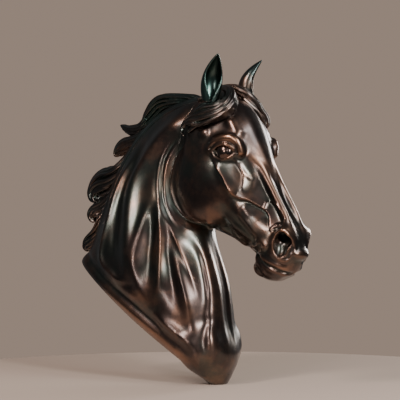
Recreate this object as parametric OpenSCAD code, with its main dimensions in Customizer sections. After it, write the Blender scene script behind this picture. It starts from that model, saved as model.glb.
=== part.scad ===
// Hollow-cast bronze bust of a horse: two main castings, welded-on ears and hair,
// a drilled and tapped foot, and a screwed cover plate over the slanted opening.
// Frame: +X the way the chest faces, +Y to the horse's left, +Z up,
// with the origin in the middle of the foot's flat face. Millimetres.

/* [Statue] */
// Height from the foot's face to the tips of the ears
statue_h = 433; // [400:1:480]
// How far the head turns to the horse's right, in degrees
head_turn = 12; // [6:1:16]

/* [Castings] */
// Wall of the neck casting
neck_wall = 3; // [2.5:0.5:3.5]
// Wall of the head casting
head_wall = 9; // [8:0.5:10]
// Height of the solid foot block
foot_h = 14; // [10:1:18]

/* [Fittings] */
// Diameter of the tapped hole in the foot, at the tapping size
socket_d = 8.5; // [6.8:0.1:8.5]
// Depth of the tapped hole
socket_depth = 24; // [18:1:26]
// Thickness of the cover plate
plate_t = 2.5; // [2:0.5:4]
// Body diameter of the cover screws
screw_d = 4; // [3:0.5:5]

/* [Hidden] */

design_h = 433;                 // the height that the lists below are drawn for
k = statue_h / design_h;
turn_axis_x = 14;               // the head turns about the vertical line through here
sides = 28;                     // points round a casting's section
steps = 2;                      // rings between two neighbouring stations

// Neck and chest, from the slanted cut at the base to the poll. Each row is a section
// square to the middle plane: crest x and z, throat x and z, half-width,
// and where the widest place is, from 0 at the crest to 1 at the throat.
NECK = [
    [-221, 162,    8,   6, 44, 0.62],
    [-214, 172,   18,  30, 52, 0.62],
    [-200, 190,   17,  62, 55, 0.60],
    [-189, 224,   13,  96, 53, 0.58],
    [-178, 268,    9, 128, 49, 0.58],
    [-160, 309,    1, 158, 45, 0.57],
    [-135, 342,   -8, 188, 42, 0.56],
    [ -99, 367,  -13, 222, 39, 0.54],
    [ -50, 381,   -4, 264, 35, 0.52],
    [ -12, 383,    8, 300, 30, 0.50]];

// Head, from behind the poll to the lips, in the head's own frame: forward and up of the
// face line, forward and up of the jaw line, then half-widths high, midway and low.
HEAD = [
    [-26, 374,  -58, 290, 20, 34, 26],
    [ -4, 387,  -60, 262, 28, 43, 34],
    [ 26, 376,  -52, 236, 38, 46, 38],
    [ 50, 350,  -34, 214, 43, 47, 37],
    [ 64, 322,  -10, 204, 40, 45, 33],
    [ 75, 296,   16, 195, 29, 38, 28],
    [ 86, 268,   38, 186, 23, 31, 24],
    [ 99, 243,   53, 178, 20, 27, 21],
    [113, 222,   61, 170, 20, 27, 20],
    [124, 204,   63, 160, 22, 28, 20],
    [130, 186,   66, 150, 21, 26, 18],
    [127, 166,   76, 142, 16, 20, 15],
    [117, 150,   92, 139,  7,  9,  7]];

// Toe, from the foot's face upwards. Each row is a level section: its height, middle,
// half-length and half-width.
TOE = [
    [ 0,   1, 13, 17],
    [ 8,  -1, 18, 24],
    [18,  -6, 25, 31],
    [31, -11, 35, 39],
    [46, -17, 46, 47],
    [62, -30, 52, 46],
    [90, -55, 50, 36]];

// Each lock: name, whether it follows the head or the neck, half-width, half-thickness,
// and the points that it runs through. Neck locks are drawn before the neck bends.
HAIR = [
    ["forelock_crown", "head", 9, 5,
        [[-14, 0, 384], [2, 0, 391], [16, 0, 387], [30, 0, 375], [40, 0, 362]]],
    ["forelock_right_upper", "head", 9, 6,
        [[8, -6, 391], [27, -9, 380], [34, -20, 367], [27, -34, 358], [10, -45, 352], [-8, -49, 348],
         [-19, -50, 339], [-22, -50, 330], [-17, -48, 322]]],
    ["forelock_right_lower", "head", 6, 4,
        [[32, -8, 371], [38, -20, 358], [29, -35, 349], [13, -46, 343], [-2, -50, 341], [-12, -51, 336]]],
    ["forelock_left_upper", "head", 9, 6,
        [[8, 6, 391], [21, 12, 381], [28, 23, 369], [31, 33, 361], [34, 40, 353], [34, 44, 345],
         [29, 46, 337]]],
    ["forelock_left_lower", "head", 6, 4,
        [[31, 8, 372], [36, 18, 360], [38, 29, 352], [38, 38, 344], [34, 43, 335]]],
    ["mane_root", "neck", 12, 8,
        [[-46, 4, 388], [-98, 4, 371], [-136, 4, 345], [-161, 4, 312], [-180, 4, 269], [-190, 4, 225],
         [-203, 4, 190], [-218, 3, 169]]],
    ["mane_lock_poll", "neck", 12, 9,
        [[-36, 4, 388], [-70, 4, 391], [-100, 3, 390], [-119, 2, 382], [-130, 3, 369], [-145, 4, 358],
         [-165, 4, 351], [-186, 3, 357]]],
    ["mane_lock_crest", "neck", 11, 8,
        [[-108, 4, 368], [-132, 3, 357], [-152, 2, 341], [-172, 4, 334], [-190, 6, 326], [-195, 6, 316],
         [-187, 5, 310]]],
    ["mane_lock_upper", "neck", 12, 8,
        [[-140, 4, 338], [-163, 2, 312], [-180, 1, 297], [-201, 3, 288], [-219, 5, 277], [-228, 5, 264],
         [-225, 4, 251], [-212, 3, 244]]],
    ["mane_lock_middle", "neck", 11, 7,
        [[-166, 6, 292], [-186, 9, 268], [-200, 11, 253], [-212, 11, 244], [-218, 9, 236]]],
    ["mane_lock_lower", "neck", 10, 7,
        [[-180, 4, 262], [-200, 3, 241], [-214, 4, 231], [-219, 5, 220], [-216, 5, 210], [-208, 4, 203]]],
    ["mane_lock_withers", "neck", 10, 7,
        [[-186, 4, 226], [-204, 3, 206], [-217, 4, 196], [-223, 4, 187], [-219, 4, 180], [-213, 4, 177]]],
    ["mane_fall_poll", "neck", 10, 6,
        [[-46, 6, 384], [-62, 26, 374], [-80, 38, 354], [-98, 43, 332], [-118, 46, 312], [-132, 50, 292]]],
    ["mane_fall_upper", "neck", 10, 6,
        [[-98, 8, 370], [-110, 28, 352], [-124, 40, 328], [-140, 45, 304], [-156, 50, 286], [-164, 55, 266]]],
    ["mane_fall_middle", "neck", 10, 6,
        [[-134, 8, 342], [-146, 30, 320], [-157, 42, 296], [-168, 48, 272], [-180, 53, 254],
         [-184, 57, 234]]],
    ["mane_fall_lower", "neck", 10, 6,
        [[-160, 8, 304], [-168, 30, 282], [-176, 43, 258], [-184, 50, 238], [-194, 52, 218],
         [-195, 55, 200]]],
    ["mane_fall_withers", "neck", 9, 6,
        [[-178, 8, 260], [-184, 28, 238], [-191, 40, 218], [-198, 46, 202], [-206, 47, 188]]]];

// The seam between the castings runs behind the ears, round the back of the cheek and
// under the throat. In the head's own frame.
cheek = [-11, 270];             // centre of the cheek, forward and up
cheek_seam_r = 60;
seam_poll = [-34, 400];         // where the seam crosses the crest
throat_z = 207;                 // the seam's level under the jaw
chin_x = 24;                    // all that lies forward of this is head

// ---- helpers ----
function lerp(a, b, t) = a + (b - a) * t;
function smooth(t) = let (c = min(1, max(0, t))) c * c * (3 - 2 * c);
function catmull(p0, p1, p2, p3, t) =
    0.5 * (2 * p1 + (p2 - p0) * t + (2 * p0 - 5 * p1 + 4 * p2 - p3) * t * t
    + (3 * p1 - p0 - 3 * p2 + p3) * t * t * t);
// A row at place u along a list of rows, where a whole number is a row itself
function along(rows, u) =
    let (n = len(rows), i = min(n - 2, max(0, floor(u))))
    catmull(rows[max(0, i - 1)], rows[i], rows[i + 1], rows[min(n - 1, i + 2)], u - i);
function unit(v) = v / norm(v);

// The neck bends towards the head's turn as it rises
function bend(p) =
    let (a = -head_turn * smooth((p[2] / k - 150) / 240), x = p[0] - turn_axis_x * k)
    [turn_axis_x * k + x * cos(a) - p[1] * sin(a), x * sin(a) + p[1] * cos(a), p[2]];

// One ring of the neck, moved in by inset
function neck_ring(u, inset) =
    let (r = along(NECK, u), c = k * [r[0], r[1]], t = k * [r[2], r[3]], e = unit(t - c),
         c1 = c + e * inset, t1 = t - e * inset, half = k * r[4] - inset, q = ln(r[5]) / ln(0.5))
    [for (i = [0 : sides - 1])
        let (th = 360 * i / sides, a = pow((1 - cos(th)) / 2, q), p = lerp(c1, t1, a),
             w = sin(th) == 0 ? 0 : sign(sin(th)) * pow(abs(sin(th)), 0.85))
        bend([p[0], -half * w, p[1]])];

// One ring of the head, moved in by inset
function head_ring(u, inset) =
    let (r = along(HEAD, u), t = k * [r[0], r[1]], b = k * [r[2], r[3]], e = unit(b - t),
         t1 = t + e * inset, b1 = b - e * inset)
    [for (i = [0 : sides - 1])
        let (th = 360 * i / sides, c = sign(cos(th)) * pow(abs(cos(th)), 0.8),
             s = sign(sin(th)) * pow(abs(sin(th)), 0.8), a = (1 - c) / 2, p = lerp(t1, b1, a),
             w = a < 0.5 ? lerp(r[4], r[5], smooth(2 * a)) : lerp(r[5], r[6], smooth(2 * a - 1)))
        [p[0], -(k * w - inset) * s, p[1]]];

// A closed solid through rings that all have the same number of points
module loft(rings) {
    n = len(rings[0]);
    m = len(rings);
    function middle(ring) = [for (i = [0 : n - 1]) 1] * ring / n;
    polyhedron(
        points = concat([for (ring = rings) each ring], [middle(rings[0]), middle(rings[m - 1])]),
        faces = concat(
            [for (i = [0 : n - 1]) [(i + 1) % n, m * n, i]],
            [for (i = [0 : n - 1]) let (o = (m - 1) * n) [o + i, m * n + 1, o + (i + 1) % n]],
            [for (j = [0 : m - 2], i = [0 : n - 1])
                let (a = j * n + i, b = j * n + (i + 1) % n) each [[a, a + n, b], [b, a + n, b + n]]]));
}
// Works its children out as one mesh, which suits curved forms that cross each other
module as_mesh() resize([0, 0, 0]) children();

function places(from, to, count) = [for (i = [0 : count]) lerp(from, to, i / count)];

module neck_solid(inset = 0, from = 0, to = len(NECK) - 1) {
    loft([for (u = places(from, to, ceil((to - from) * steps))) neck_ring(u, inset)]);
}
module in_head_frame() translate([turn_axis_x * k, 0, 0]) rotate([0, 0, -head_turn]) children();
module head_solid(inset = 0) {
    last = len(HEAD) - 1 - inset / 12;
    in_head_frame() loft([for (u = places(inset / 20, last, (len(HEAD) - 1) * steps)) head_ring(u, inset)]);
}
module toe_solid(inset = 0) {
    loft([for (r = TOE) [for (i = [0 : sides - 1])
        k * [r[1] + (r[2] - inset) * cos(360 * i / sides), (r[3] - inset) * sin(360 * i / sides), r[0]]]]);
}
eye_at = [32, 36, 306];
nostril_at = [114, 29, 186];
// Bones and muscles of the head that its sections don't give: middle, half-sizes and tilt
// of each, for the left side
RELIEF = [
    [[-11, 28, 269], [54, 22, 56], 0],      // round cheek
    [[31, 32, 311], [24, 15, 19], 12],      // bulge round the eye
    [[108, 14, 190], [18, 16, 23], 20],     // nostril
    [[66, 3, 158], [12, 12, 14], 0],        // chin
    [[81, 3, 149], [18, 12, 9], 8],         // lower lip
    [[104, 4, 162], [15, 15, 14], 30]];     // upper lip
module head_relief() {
    in_head_frame() scale(k) for (r = RELIEF, side = [-1, 1])
        translate([r[0][0], side * r[0][1], r[0][2]]) rotate([0, r[2], 0]) scale(r[1]) sphere(1, $fn = 32);
}
module shoulder_points() {
    scale(k) for (side = [-1, 1])
        translate([-8, side * 31, 48]) scale([22, 16, 27]) sphere(1, $fn = 32);
}
// Outline of the slit between the lips, forward and up
mouth = [[66, 170], [76, 160], [88, 153], [99, 147], [100, 149], [90, 156], [79, 163], [68, 172]];
// Eye sockets, nostrils and mouth
module head_hollows() {
    in_head_frame() scale(k) for (side = [-1, 1]) {
        translate([eye_at[0] + 2, side * 58, eye_at[2]]) sphere(18, $fn = 32);
        translate([nostril_at[0], side * nostril_at[1], nostril_at[2]]) rotate([0, 20, side * -25])
            scale([9, 12, 14]) sphere(1, $fn = 24);
        translate([0, side * 31, 0]) rotate([90, 0, 0]) linear_extrude(26, center = true) polygon(mouth);
    }
}
module outer_form() {
    difference() {
        union() {
            neck_solid();
            toe_solid();
            shoulder_points();
            head_solid();
            head_relief();
        }
        head_hollows();
    }
}
// The part of space that belongs to the head casting
module head_side() {
    in_head_frame() rotate([90, 0, 0]) linear_extrude(400, center = true) {
        translate(k * cheek) circle(cheek_seam_r * k, $fn = 48);
        polygon(k * [seam_poll, [cheek[0] - cheek_seam_r, cheek[1]], cheek, [cheek[0], throat_z],
            [chin_x, throat_z], [chin_x, 100], [200, 100], [200, 460], [seam_poll[0], 460]]);
    }
}
cut_from = k * [NECK[0][0], NECK[0][1]];
cut_dir = unit(k * [NECK[0][2], NECK[0][3]] - cut_from);
cut_slope = atan2(-cut_dir[1], cut_dir[0]);
// Lays a drawing on the slanted cut: first axis down the slope from the withers, second
// across, third into the bust
module on_cut() translate([cut_from[0], 0, cut_from[1]]) rotate([0, cut_slope, 0]) children();
solid_from = 4.5;               // the muzzle is solid from this row of HEAD on
boss_d = 20;                    // the boss round the tapped hole, inside the neck
boss_rise = 15;                 // and how far it stands up from the foot block
plate_end = 196 * k;            // the plate stops here, short of the foot
ledge = 7;                      // width of the ledge that the plate is screwed to
ledge_t = 6;                    // and its thickness
recess = 2;                     // the plate lies this far under the rim
function cut_outline(inset) =
    [for (p = neck_ring(0, inset)) let (d = [p[0] - cut_from[0], p[2] - cut_from[1]])
        [min(d * cut_dir, plate_end - inset), p[1]]];
screw_places = [for (a = [20, 76, 132, 182]) each [[a * k, 1], [a * k, -1]]];
// Half-width of the cut at a distance down its slope
function cut_half(a) = max([for (i = [0 : 60]) let (p = neck_ring_fine(i / 60 * 180))
    abs(p[0] - a) < 5 * k ? p[1] : 0]);
function neck_ring_fine(th) =
    let (r = NECK[0], c = k * [r[0], r[1]], t = k * [r[2], r[3]], q = ln(r[5]) / ln(0.5))
    [norm(t - c) * pow((1 - cos(th)) / 2, q), k * r[4] * pow(abs(sin(th)), 0.85)];
module at_screws() {
    for (s = screw_places)
        translate([s[0], s[1] * (cut_half(s[0]) - neck_wall - ledge / 2 - 1), 0]) children();
}

// ---- hair ----
hair_sides = 8;                 // points round a lock

// A lock's size along its length, from its root at 0 to its tip at 1
function taper(s) = min(1, 0.7 + 1.5 * s) * pow(max(0.03, 1 - s), 0.55);
function lock_rings(path, half_w, half_t, across) =
    let (n = (len(path) - 1) * 2)
    [for (j = [0 : n])
        let (u = j / 2, p = k * along(path, u),
             ahead = along(path, min(len(path) - 1.001, u + 0.05)),
             behind = along(path, max(0, u - 0.05)),
             t = unit(ahead - behind), wide = unit(cross(t, across)), thin = cross(wide, t),
             r = k * taper(j / n))
        [for (i = [0 : hair_sides - 1])
            let (a = -360 * i / hair_sides)
            p + r * (half_w * cos(a) * wide + half_t * sin(a) * thin)]];
module lock_solid(h) {
    path = h[4];
    outwards = h[1] == "head" ? [0.3, sign(path[4][1] + 0.1) * 0.8, 0.5] : [0, 1, 0];
    rings = lock_rings(path, h[2], h[3], outwards);
    if (h[1] == "head")
        in_head_frame() loft(rings);
    else
        loft([for (ring = rings) [for (p = ring) bend(p)]]);
}
// A lock gives way to the castings, to the ears and to the locks before it
module lock(i) {
    color("#4a3527") as_mesh() difference() {
        lock_solid(HAIR[i]);
        outer_form();
        for (side = [-1, 1]) ear_solid(side);
        for (j = [0 : 1 : i - 1]) lock_solid(HAIR[j]);
    }
}

// ---- castings ----
module cavity() {
    difference() {
        union() {
            neck_solid(neck_wall, 0.05, len(NECK) - 1.4);
            in_head_frame() loft([for (u = places(1, solid_from, 16)) head_ring(u, head_wall)]);
        }
        on_cut() translate([-60, -150, -60]) cube([420, 300, 60 + recess + plate_t + ledge_t]);
    }
}
module hollow_form() {
    difference() {
        outer_form();
        cavity();
    }
}
// The opening in the slanted cut, with a seat for the cover plate
module cover_opening() {
    on_cut() {
        translate([0, 0, -10]) linear_extrude(10 + recess + plate_t) polygon(cut_outline(neck_wall));
        linear_extrude(recess + plate_t + ledge_t + 1) polygon(cut_outline(neck_wall + ledge));
        at_screws() cylinder(d = screw_d, h = 14, $fn = 24);
    }
}
module neck_casting() {
    color("#5b4030") as_mesh() difference() {
        hollow_form();
        head_side();
        cover_opening();
        translate([-150, -150, -60]) cube([300, 300, 60 + foot_h]);
        cylinder(d = boss_d + 0.4, h = foot_h + boss_rise + 0.2, $fn = 48);
    }
}
module head_casting() {
    color("#5b4030") as_mesh() intersection() {
        hollow_form();
        head_side();
    }
}
module foot_block() {
    color("#4a3527") difference() {
        union() {
            as_mesh() intersection() {
                union() {
                    neck_solid(0, 0, 1);
                    toe_solid();
                    shoulder_points();
                }
                translate([-100, -100, 0]) cube([200, 200, foot_h]);
            }
            cylinder(d = boss_d, h = foot_h + boss_rise, $fn = 48);
        }
        translate([0, 0, -1]) cylinder(d = socket_d, h = socket_depth + 1, $fn = 48);
    }
}
module cover_plate() {
    gap = 0.3;
    color("#6b4a33") on_cut() translate([0, 0, recess]) difference() {
        linear_extrude(plate_t) polygon(cut_outline(neck_wall + gap));
        at_screws() translate([0, 0, -1]) cylinder(d = screw_d + 0.4, h = plate_t + 2, $fn = 24);
    }
}
module cover_screws() {
    head_t = 1.6;
    color("#8a7a5a") on_cut() at_screws() translate([0, 0, recess - head_t]) {
        cylinder(d = 2 * screw_d, h = head_t, $fn = 32);
        cylinder(d = screw_d - 0.1, h = head_t + plate_t + ledge_t, $fn = 24);
    }
}

// ---- eyes and ears ----
module eye(side) {
    color("#3a2a20") as_mesh() difference() {
        in_head_frame() translate(k * [eye_at[0], side * eye_at[1], eye_at[2]]) sphere(12.5 * k, $fn = 32);
        outer_form();
    }
}
ear_base = [3, 36, 374];
ear_tip = [25, 44, 433];
ear_wall = 2.5;
ear_steps = 12;
// Half-width up the ear, from its root at 0 to its tip at 1
function ear_half(h) = 13.5 * pow(sin(180 * pow(0.16 + 0.84 * h, 0.85)), 0.8) + 0.6;
// Half of the angle that the ear's opening takes
function ear_open(h) = lerp(18, 74, smooth(h * 1.5));
function ear_ring(h, side) =
    let (length = norm(ear_tip - ear_base), up = unit(ear_tip - ear_base), out = [0.82, 0.57, 0],
         face = unit(out - up * (out * up)), wide = cross(up, face), r = ear_half(h),
         n = 11, lean = 7 * sin(180 * h),
         arc = [for (i = [0 : n - 1]) ear_open(h) + i * (360 - 2 * ear_open(h)) / (n - 1)],
         at = function (a, q) ear_base + up * (length * h) - face * lean
             + face * (q * 0.85 * cos(a)) + wide * (q * sin(a)),
         ring = concat([for (a = arc) at(a, r)],
             [for (i = [n - 1 : -1 : 0]) at(arc[i], max(0.3, r - ear_wall * (1 - 0.6 * h)))]))
    [for (p = ring) k * [p[0], side * p[1], p[2]]];
module ear_solid(side) {
    rings = [for (j = [0 : ear_steps]) ear_ring(j / ear_steps, side)];
    n = len(rings[0]);
    m = ear_steps;
    faces = concat(
        [for (i = [0 : n / 2 - 2]) each [[i, n - 1 - i, i + 1], [i + 1, n - 1 - i, n - 2 - i]]],
        [for (i = [0 : n / 2 - 2]) let (o = m * n)
            each [[o + i, o + i + 1, o + n - 1 - i], [o + i + 1, o + n - 2 - i, o + n - 1 - i]]],
        [for (j = [0 : m - 1], i = [0 : n - 1])
            let (a = j * n + i, b = j * n + (i + 1) % n) each [[a, b, a + n], [b, b + n, a + n]]]);
    in_head_frame() polyhedron(points = [for (r = rings) each r],
        faces = side < 0 ? faces : [for (f = faces) [f[2], f[1], f[0]]]);
}
module ear(side) {
    color("#4f4a3c") as_mesh() difference() {
        ear_solid(side);
        outer_form();
    }
}

neck_casting();
head_casting();
foot_block();
cover_plate();
cover_screws();
eye(-1);  // right_eye
eye(1);  // left_eye
ear(-1);  // right_ear
ear(1);  // left_ear
for (i = [0 : len(HAIR) - 1]) lock(i);
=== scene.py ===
import math

import bpy
import numpy as np
import openvdb
from mathutils import Euler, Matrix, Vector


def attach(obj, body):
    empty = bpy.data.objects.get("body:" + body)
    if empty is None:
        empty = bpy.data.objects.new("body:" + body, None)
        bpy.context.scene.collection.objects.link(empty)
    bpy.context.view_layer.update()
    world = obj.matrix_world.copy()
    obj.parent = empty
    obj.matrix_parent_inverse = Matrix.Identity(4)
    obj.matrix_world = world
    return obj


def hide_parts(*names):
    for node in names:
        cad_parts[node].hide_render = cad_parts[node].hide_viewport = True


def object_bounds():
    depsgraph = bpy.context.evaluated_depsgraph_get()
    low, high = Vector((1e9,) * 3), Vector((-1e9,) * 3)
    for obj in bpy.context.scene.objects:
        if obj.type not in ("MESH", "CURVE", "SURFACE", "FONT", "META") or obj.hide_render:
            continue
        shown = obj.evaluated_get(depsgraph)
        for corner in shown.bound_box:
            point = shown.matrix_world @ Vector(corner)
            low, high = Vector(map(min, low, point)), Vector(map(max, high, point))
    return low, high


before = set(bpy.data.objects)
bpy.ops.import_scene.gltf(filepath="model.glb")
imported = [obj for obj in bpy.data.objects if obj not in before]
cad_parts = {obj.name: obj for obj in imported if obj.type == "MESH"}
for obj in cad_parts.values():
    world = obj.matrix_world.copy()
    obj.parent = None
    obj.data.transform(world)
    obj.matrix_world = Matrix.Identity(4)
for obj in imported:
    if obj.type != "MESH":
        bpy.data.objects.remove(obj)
cad_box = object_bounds()

# ---- sizes ----
# The form is drawn in design millimetres, where the ears' tips stand DESIGN_HEIGHT above the
# foot's face, in a straight frame: x forward, y to the horse's left, z up, before the neck
# bends and the head turns. Everything is then bent, turned and scaled to the frame.
DESIGN_HEIGHT = 433.2
SCALE = cad_box[1][2] / DESIGN_HEIGHT
TURN = 12.0  # degrees that the head turns to the horse's right
TURN_AXIS_X = 14.0
CELL = 1.1  # the clay's grid, in design mm
HAIR_CELL = 0.7
EAR_CELL = 0.5

# Neck sections: crest x, z, throat x, z, half-width, place of the widest point
NECK = np.array([
    [-221, 162, 8, 6, 44, 0.62],
    [-214, 172, 18, 30, 52, 0.62],
    [-200, 190, 17, 62, 55, 0.60],
    [-189, 224, 13, 96, 53, 0.58],
    [-178, 268, 9, 128, 49, 0.58],
    [-160, 309, 1, 158, 45, 0.57],
    [-135, 342, -8, 188, 42, 0.56],
    [-99, 367, -13, 222, 39, 0.54],
    [-50, 381, -4, 264, 35, 0.52],
    [-12, 383, 8, 300, 30, 0.50],
], float)
# Head sections: face line x, z, jaw line x, z, half-widths high, midway and low
HEAD = np.array([
    [-12, 374, -44, 290, 20, 34, 26],
    [10, 387, -46, 262, 28, 43, 34],
    [40, 376, -38, 236, 37, 46, 38],
    [64, 350, -20, 214, 40, 47, 37],
    [78, 322, 4, 204, 34, 46, 33],
    [89, 296, 30, 195, 23, 40, 28],
    [100, 268, 52, 186, 16, 34, 24],
    [112, 243, 67, 178, 14, 29, 21],
    [126, 222, 75, 170, 15, 27, 20],
    [137, 204, 77, 160, 18, 27, 20],
    [143, 186, 80, 150, 20, 26, 18],
    [141, 166, 90, 142, 16, 20, 15],
    [131, 150, 106, 139, 7, 9, 7],
], float)
# Toe sections: height, middle x, half-length, half-width
TOE = np.array([
    [-12, 4, 6, 8],
    [0, 1.5, 11, 13],
    [8, -1, 17, 21],
    [18, -6, 25, 31],
    [31, -11, 35, 39],
    [46, -19, 43, 43],
    [62, -32, 48, 38],
    [90, -55, 46, 24],
], float)
# How full a section's outline is: 1 is an ellipse, and less is squarer
NECK_FULLNESS = 0.85
HEAD_FULLNESS = 0.8


# ---- curves ----
def smooth(t):
    """0 up to t = 0, 1 from t = 1, and a soft step between."""
    t = np.clip(t, 0, 1)
    return t * t * (3 - 2 * t)


def both_ends(u, fade):
    """0 at u = 0 and u = 1, and 1 between, but for a share of fade at each end."""
    return smooth(u / fade) * smooth((1 - u) / fade)


def bell(distance, width):
    return np.exp(-(distance / width) ** 2)


def catmull(rows, u):
    """Rows of numbers at places u along a list of rows, on one smooth curve."""
    rows = np.asarray(rows, float)
    last = len(rows) - 1
    i = np.clip(np.floor(u).astype(int), 0, last - 1)
    t = (u - i)[:, None]
    p0, p1 = rows[np.maximum(i - 1, 0)], rows[i]
    p2, p3 = rows[i + 1], rows[np.minimum(i + 2, last)]
    return 0.5 * (2 * p1 + (p2 - p0) * t + (2 * p0 - 5 * p1 + 4 * p2 - p3) * t * t
                  + (3 * p1 - p0 - 3 * p2 + p3) * t ** 3)


def rounded(rows, per=4):
    """The same rows with more put in between, on one smooth curve."""
    return catmull(rows, np.linspace(0, len(rows) - 1, (len(rows) - 1) * per + 1))


def signed_power(value, power):
    return np.sign(value) * np.abs(value) ** power


def turns(count):
    """Angles evenly spaced round a whole turn."""
    return 2 * math.pi * np.arange(count) / count


def unit_rows(v):
    return v / np.maximum(np.linalg.norm(v, axis=1), 1e-9)[:, None]


# ---- sections of the neck, the head and the toe ----
ROUND = turns(96)  # angles of the points round a section


def neck_share(angle, place):
    """How far from the crest to the throat a point lies, at an angle round a neck section."""
    return ((1 - np.cos(angle)) / 2) ** (np.log(place) / math.log(0.5))


def neck_rings():
    rows = rounded(NECK, 6)
    crest, throat, half, place = rows[:, 0:2], rows[:, 2:4], rows[:, 4], rows[:, 5]
    along = neck_share(ROUND[None, :], place[:, None])
    line = crest[:, None] + (throat - crest)[:, None] * along[:, :, None]
    side = half[:, None] * signed_power(np.sin(ROUND), NECK_FULLNESS)[None, :]
    return np.stack([line[:, :, 0], side, line[:, :, 1]], 2)


def head_rings():
    rows = rounded(HEAD, 6)
    across = signed_power(np.sin(ROUND), HEAD_FULLNESS)
    down = (1 - signed_power(np.cos(ROUND), HEAD_FULLNESS)) / 2
    line = rows[:, None, 0:2] + (rows[:, 2:4] - rows[:, 0:2])[:, None] * down[None, :, None]
    high, mid, low = rows[:, 4:5], rows[:, 5:6], rows[:, 6:7]
    width = np.where(down < 0.5, high + (mid - high) * smooth(2 * down),
                     mid + (low - mid) * smooth(2 * down - 1))
    return np.stack([line[:, :, 0], width * across[None, :], line[:, :, 1]], 2)


def toe_rings():
    rows = rounded(TOE, 4)
    x = rows[:, 1:2] + rows[:, 2:3] * np.cos(ROUND)[None]
    y = rows[:, 3:4] * np.sin(ROUND)[None]
    return np.stack([x, y, np.repeat(rows[:, 0:1], len(ROUND), 1)], 2)


# ---- closed surfaces as distances on a grid, and back ----
def stack_faces(rings, sides):
    """The faces of a closed stack of rings. The middles of its first and last ring are the
    two points after those of the rings."""
    i = np.arange(sides)
    step = (i + 1) % sides
    band = np.stack([i, step, sides + step, sides + i], 1)
    quads = np.concatenate([band + sides * j for j in range(rings - 1)])
    top = (rings - 1) * sides
    middle = np.full(sides, rings * sides)
    caps = np.concatenate([np.stack([i, middle, step], 1), np.stack([top + i, top + step, middle + 1], 1)])
    return quads, caps


def distances(points, quads, caps, cell, band, start, count):
    """Distances to a closed surface in a box of cells, true up to band cells from it."""
    grid = openvdb.FloatGrid.createLevelSetFromPolygons(
        points.astype(np.float32), caps.astype(np.uint32), quads.astype(np.uint32),
        transform=openvdb.createLinearTransform(voxelSize=cell), halfWidth=float(band))
    field = np.zeros(tuple(count), np.float32)
    grid.copyToArray(field, ijk=tuple(int(v) for v in start))
    return field


def surface(field, low, cell):
    """Points and four-sided faces where a field of distances is 0."""
    grid = openvdb.FloatGrid(float(field.max()))
    grid.copyFromArray(np.ascontiguousarray(field, np.float32), tolerance=0.0)
    points, quads = grid.convertToQuads(isovalue=0.0)
    return points.astype(float) * cell + low, quads.astype(int)


def smooth_union(a, b, radius):
    h = np.clip(0.5 + 0.5 * (b - a) / radius, 0, 1)
    return b + (a - b) * h - radius * h * (1 - h)


def smooth_larger(a, b, radius):
    return -smooth_union(-a, -b, radius)


def blur(field, passes):
    """Softens the field a little more with each pass, about 0.7 cells each."""
    for _ in range(passes):
        for axis in range(3):
            field = np.moveaxis(field, axis, 0)
            # across the middle plane the field is mirrored, and it goes on level past the others
            first = field[1:2] if axis == 1 else field[0:1]
            wide = np.concatenate([first, field, field[-1:]])
            field = 0.25 * wide[:-2] + 0.5 * wide[1:-1] + 0.25 * wide[2:]
            field = np.moveaxis(field, 0, axis)
    return np.ascontiguousarray(field)


def line_distance(place, points):
    """Distance to a line through points, and how far along it the nearest point is, 0 to 1.
    Places and points have x, y and z, or only x and z for the distance seen from the side."""
    best, share = np.inf, 0
    for i, (a, b) in enumerate(zip(points[:-1], points[1:])):
        d = b - a
        t = sum((p - start) * along for p, start, along in zip(place, a, d)) / (d @ d)
        t = np.clip(t, 0, 1)
        far = sum((p - start - t * along) ** 2 for p, start, along in zip(place, a, d))
        share = np.where(far < best, (i + t) / (len(points) - 1), share)
        best = np.minimum(best, far)
    return np.sqrt(best), share


# ---- clay: distances to the surface on a grid, for the left half, y >= 0 ----
REACH = math.ceil(20 / CELL)  # cells on each side of the surface that hold true distances
# the grid starts on whole cells, so that it lines up with the ones that openvdb makes
LOW = np.round(np.array([-236.0, 0.0, -8.0]) / CELL) * CELL
HIGH = np.array([164.0, 68.0, 402.0])
COUNT = np.round((HIGH - LOW) / CELL).astype(int) + 1
AXES = [LOW[a] + CELL * np.arange(COUNT[a]) for a in range(3)]
X, Y, Z = np.meshgrid(*AXES, indexing="ij", sparse=True)
# A stroke has sunk away at STROKE_END widths, and a ledge at LEDGE_END of its reach
STROKE_END = 2.2
LEDGE_END = 3.3


def loft_distance(rings):
    """Distances to the closed solid through a stack of rings."""
    points = np.concatenate([rings.reshape(-1, 3), rings[0].mean(0)[None], rings[-1].mean(0)[None]])
    return distances(points, *stack_faces(*rings.shape[:2]), CELL, REACH, np.round(LOW / CELL), COUNT)


def off_middle(y, width):
    """0 at the middle plane, where the two halves meet, and 1 from about a width away."""
    return smooth((y - 0.3 * width) / width)


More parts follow.
